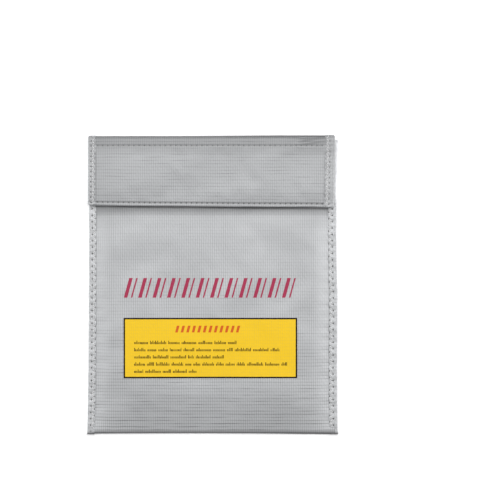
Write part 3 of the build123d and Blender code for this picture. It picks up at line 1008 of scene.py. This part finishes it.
def make_loop_tape():
    x, y = np.meshgrid(steps(TAPE_LOW.x, TAPE_HIGH.x, 0.7 * MM), steps(TAPE_LOW.y, TAPE_HIGH.y, 0.7 * MM))
    from_edge = np.minimum(TAPE_HIGH.x - np.abs(x), np.minimum(y - TAPE_LOW.y, TAPE_HIGH.y - y))
    pile = np.random.default_rng(12).uniform(0.1 * MM, 0.4 * MM, x.shape) * ease(from_edge / (1.6 * MM))
    grid = np.stack([x, y, front_outer(x, y) + (LOOP_BACKING + pile) / 2], axis=2)
    tape = sheet_mesh("loop_tape", grid, LOOP_BACKING, LOOP_PILE)
    return finish_piece(tape, "pocket", "loop_tape", "loop_strip")


def make_hook_tape():
    """The hook tape's backing, and its field of small hooks, each row leaning against the next."""
    x, y = np.meshgrid(steps(TAPE_LOW.x, TAPE_HIGH.x, MM), steps(TAPE_LOW.y, TAPE_HIGH.y, MM))
    grid = np.stack([x, y + flap_shift(x, y), hook_base(x, y) - HOOK_BACKING / 2], axis=2)
    tape = sheet_mesh("hook_tape", grid, HOOK_BACKING, HOOK_TAPE)
    finish_piece(tape, "flap", "hook_tape", "hook_strip")
    margin, spacing = 2 * MM, 1.5 * MM
    paths = []
    t = np.linspace(0, 1, 5)
    for row, y in enumerate(steps(TAPE_LOW.y + margin, TAPE_HIGH.y - margin, spacing)):
        lean = 0.32 * MM if row % 2 else -0.32 * MM
        curl = point_row(0.0, lean * (1 - np.cos(t * 2.4)), -0.3 * MM * np.sin(t * 2.2))
        for x in steps(TAPE_LOW.x + margin, TAPE_HIGH.x - margin, spacing):
            paths.append(np.array([x, y + flap_shift(x, y), hook_base(x, y) - 0.25 * MM]) + curl)
    hooks = tubes("hook_field", paths, 0.09 * MM, HOOK_TAPE, sides=4)
    return tape, finish_piece(hooks, "flap", "hook_tape")


# ---- printing -----------------------------------------------------------------------------------
INK = 0.06 * MM
INK_CELL = 1.5 * MM
# height of the ink's face above the cloth: straight on it, or over the panel's own ink
ON_CLOTH, ON_PANEL = 0.05 * MM, 0.08 * MM


def printed(name, patches, lift, material, slot, node):
    """Flat patches of ink that follow the front panel: each patch is its four corners, anticlockwise."""
    verts, faces, uvs = [], [], []
    for corners in patches:
        a, b, c, d = np.array(corners)
        columns, rows = (max(1, round(np.linalg.norm(edge) / INK_CELL)) + 1 for edge in (b - a, d - a))
        s, t = np.meshgrid(np.linspace(0, 1, columns), np.linspace(0, 1, rows))
        s, t = s[:, :, None], t[:, :, None]
        flat = (1 - s) * (1 - t) * a + s * (1 - t) * b + s * t * c + (1 - s) * t * d
        z = front_outer(flat[:, :, 0], flat[:, :, 1])
        faces += (closed_faces(rows, columns) + len(verts)).tolist()
        for height in (lift, lift - INK):
            verts += np.dstack([flat, z + height]).reshape(-1, 3).tolist()
            uvs += flat.reshape(-1, 2).tolist()
    return finish_piece(new_object(name, verts, faces, material, uvs), "pocket", slot, node)


def rectangle(low_x, low_y, high_x, high_y, slant=0.0):
    return [(low_x, low_y), (high_x, low_y), (high_x + slant, high_y), (low_x + slant, high_y)]


def panel_patches(low, high):
    return [rectangle(low.x, low.y, high.x, high.y)]


def border_patches(low, high):
    width = 1.1 * MM
    return [
        rectangle(low.x, low.y, high.x, low.y + width),
        rectangle(low.x, high.y - width, high.x, high.y),
        rectangle(low.x, low.y + width, low.x + width, high.y - width),
        rectangle(high.x - width, low.y + width, high.x, high.y - width),
    ]


def heading_patches(low, high):
    """Pairs of slanted strokes, a broad one and a narrow one: a plain ornament where the heading was."""
    count, slant, broad, narrow, second = 12, 4 * MM, 2.6 * MM, 1.1 * MM, 5.2 * MM
    patches = []
    for x in np.linspace(low.x, high.x - 7.2 * MM - slant, count):
        patches.append(rectangle(x, low.y, x + broad, high.y, slant))
        patches.append(rectangle(x + second, low.y, x + second + narrow, high.y, slant))
    return patches


def header_patches(low, high):
    """A row of short slanted dashes, where the panel's own heading was."""
    slant, broad = 1.3 * MM, 1.9 * MM
    starts = steps(low.x, high.x - broad - slant, 4.2 * MM)
    return [rectangle(x, low.y, x + broad, high.y, slant) for x in starts]


def line_patches(low, high):
    """Rows of short upright ticks in word-long groups: print too small to be read as anything."""
    random = np.random.default_rng(17)
    lengths = (75.8, 107.2, 68.6, 114.9, 46.0)
    margin, space = 1.6 * MM, 1.3 * MM
    patches = []
    for base, length in zip(np.linspace(high.y - margin, low.y, len(lengths)), lengths):
        x, end = low.x, low.x + length * MM
        while x < end - MM:
            word_end = min(end, x + random.uniform(4, 12) * MM)
            while x < word_end - 0.4 * MM:
                tall = random.choice([1.5, 1.5, 1.5, 2.5]) * MM
                broad = random.uniform(0.38, 0.64) * MM
                patches.append(rectangle(x, base, x + broad, base + tall))
                x += broad + random.uniform(0.3, 0.45) * MM
            x += space
    return patches


def make_prints():
    prints = (
        ("print_panel_ink", panel_patches, ON_CLOTH, YELLOW_INK, "print_yellow", "print_panel"),
        ("print_border_ink", border_patches, ON_PANEL, BLACK_INK, "print_black", "print_panel_border"),
        ("print_header_ink", header_patches, ON_PANEL, ORANGE_INK, "print_orange", "print_panel_header"),
        ("print_lines_ink", line_patches, ON_PANEL, BLACK_INK, "print_black", "print_panel_lines"),
        ("print_heading_ink", heading_patches, ON_CLOTH, CRIMSON_INK, "print_crimson", "print_heading_bars"),
    )
    return [
        printed(name, shape(*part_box(node)), lift, material, slot, node)
        for name, shape, lift, material, slot, node in prints
    ]


# ---- put it together ----------------------------------------------------------------------------
def make_threads(name, body, paths, *nodes, material=SEWING_THREAD):
    return finish_piece(tubes(name, paths, THREAD, material), body, "thread", *nodes)


def make_bindings():
    pieces = {}
    for name, side in SIDES:
        rail = pocket_rail(side)
        tape = bound_edge(f"pocket_binding_{name}", rail, BODY_TAPE_WIDTH, BODY_ZIGZAG, BODY_TAPE)
        finish_piece(tape, "pocket", "binding_fabric", f"binding_{name}")
        paths = zigzag(rail, BOTTOM_Y + 2 * MM, SEAM_END_Y - 2 * MM, BODY_ZIGZAG)
        thread = make_threads(f"pocket_seam_thread_{name}", "pocket", paths, f"seam_stitching_{name}")
        pieces["pocket", name] = tape, thread
        rail = flap_rail(side)
        tape = bound_edge(f"flap_edge_binding_{name}", rail, FLAP_TAPE_WIDTH, FLAP_ZIGZAG, FLAP_TAPE[side])
        finish_piece(tape, "flap", "binding_fabric", f"flap_binding_{name}")
        paths = zigzag(rail, FLAP_LOW_Y + 2 * MM, FOLD_START_Y, FLAP_ZIGZAG)
        thread = make_threads(f"flap_seam_thread_{name}", "flap", paths, f"flap_seam_stitching_{name}")
        pieces["flap", name] = tape, thread
    return pieces


def flap_face(x, y):
    return flap_middle(x, y) + CLOTH / 2


def hem_face(x, y):
    return front_outer(x, y) + LINING


def loop_tape_face(x, y):
    return front_outer(x, y) + LOOP_BACKING + 0.05 * MM


def hook_tape_face(x, y):
    return hook_base(x, y) - HOOK_BACKING - 0.05 * MM


def make_rows():
    """The straight rows of stitches: two across the flap, one along the mouth and those round the tapes."""
    low_x, high_x = FLAP_LEFT + 6 * MM, FLAP_RIGHT - 7.6 * MM
    top = straight_row(TOP_ROW_Y, low_x, high_x, flap_face, flap_shift, 1.0 * MM)
    hem = straight_row(HEM_ROW_Y, low_x, high_x, flap_face, flap_shift, 1.6 * MM)
    mouth = straight_row(MOUTH_ROW_Y, -SEAM_X + 2 * MM, SEAM_X - 2 * MM, hem_face, below=1.8 * MM)
    loop, hook = [], []
    for y in (TAPE_LOW.y + 1.5 * MM, TAPE_HIGH.y - 1.5 * MM):
        loop += straight_row(y, TAPE_LOW.x + MM, TAPE_HIGH.x - MM, loop_tape_face)
        hook += straight_row(y, TAPE_LOW.x + MM, TAPE_HIGH.x - MM, hook_tape_face, flap_shift)
    return {
        "top": make_threads("flap_top_thread", "flap", top, "flap_top_stitching", material=SHADED_ROW_THREAD),
        "hem": make_threads("flap_hem_thread", "flap", hem, "flap_hem_stitching", material=SHADED_ROW_THREAD),
        "mouth": make_threads("mouth_hem_thread", "pocket", mouth, "mouth_hem_stitching"),
        "loop": make_threads("loop_tape_thread", "pocket", loop, "loop_strip_stitching"),
        "hook": make_threads("hook_tape_thread", "flap", hook, "hook_strip_stitching"),
    }


pocket_cloth, pocket_lining = make_pocket()
mouth_hem = make_mouth_hem()
bindings = make_bindings()
flap_cloth = make_flap_cloth()
flap_facing = make_flap_facing()
fold = make_fold()
threads = make_rows()
loop_tape = make_loop_tape()
hook_tape, hooks = make_hook_tape()
prints = make_prints()


# ---- studio -------------------------------------------------------------------------------------
VIEW_WIDTH = 370.5 * MM
VIEW_CENTRE = (27.7 * MM, 26.1 * MM)
LENS, SENSOR = 135, 36
WHITE = (1.0, 1.0, 1.0, 1.0)


def make_floor():
    nodes = Nodes("pale_floor")
    place = Value(nodes, nodes.add("ShaderNodeTexCoord").outputs["Object"])
    speck = nodes.noise(place, 30, 3.0)
    colour = nodes.mix(speck, (0.94, 0.94, 0.945, 1.0), (0.97, 0.97, 0.97, 1.0))
    nodes.surface(colour, nodes.bump(speck, 0.05 * MM, 0.2), 0.8)
    nodes.shader.inputs["Emission Color"].default_value = WHITE
    nodes.shader.inputs["Emission Strength"].default_value = 0.25
    half, z = 3.0, -0.1 * MM
    mesh = bpy.data.meshes.new("floor")
    corners = [(-half, -half, z), (half, -half, z), (half, half, z), (-half, half, z)]
    mesh.from_pydata(corners, [], [(0, 1, 2, 3)])
    mesh.materials.append(nodes.material)
    floor = bpy.data.objects.new("floor", mesh)
    bpy.context.scene.collection.objects.link(floor)


def make_light(name, place, size, power):
    """A rectangular softbox that faces the bag."""
    light = bpy.data.lights.new(name, "AREA")
    light.shape = "RECTANGLE"
    light.size, light.size_y = size
    light.energy = power
    lamp = bpy.data.objects.new(name, light)
    lamp.location = place
    lamp.rotation_euler = (-Vector(place)).to_track_quat("-Z", "Y").to_euler()
    lamp.visible_camera = False
    bpy.context.scene.collection.objects.link(lamp)


def make_world():
    world = bpy.data.worlds.new("studio")
    world.use_nodes = True
    world.node_tree.nodes["Background"].inputs["Color"].default_value = WHITE
    world.node_tree.nodes["Background"].inputs["Strength"].default_value = 0.15
    bpy.context.scene.world = world
    bpy.context.scene.view_settings.view_transform = "Standard"


def make_camera():
    """A camera straight above, high enough for its view to be VIEW_WIDTH wide."""
    camera = bpy.data.cameras.new("camera")
    camera.lens, camera.sensor_width = LENS, SENSOR
    holder = bpy.data.objects.new("camera", camera)
    holder.location = (*VIEW_CENTRE, VIEW_WIDTH * LENS / SENSOR)
    bpy.context.scene.collection.objects.link(holder)
    bpy.context.scene.camera = holder


make_floor()
make_light("top_softbox", (0.0, 0.62, 1.45), (1.2, 0.9), 14)
make_light("right_softbox", (1.15, 0.1, 0.65), (0.6, 1.1), 9.3)
make_light("left_softbox", (-1.15, 0.1, 0.65), (0.6, 1.1), 7.6)
make_world()
make_camera()
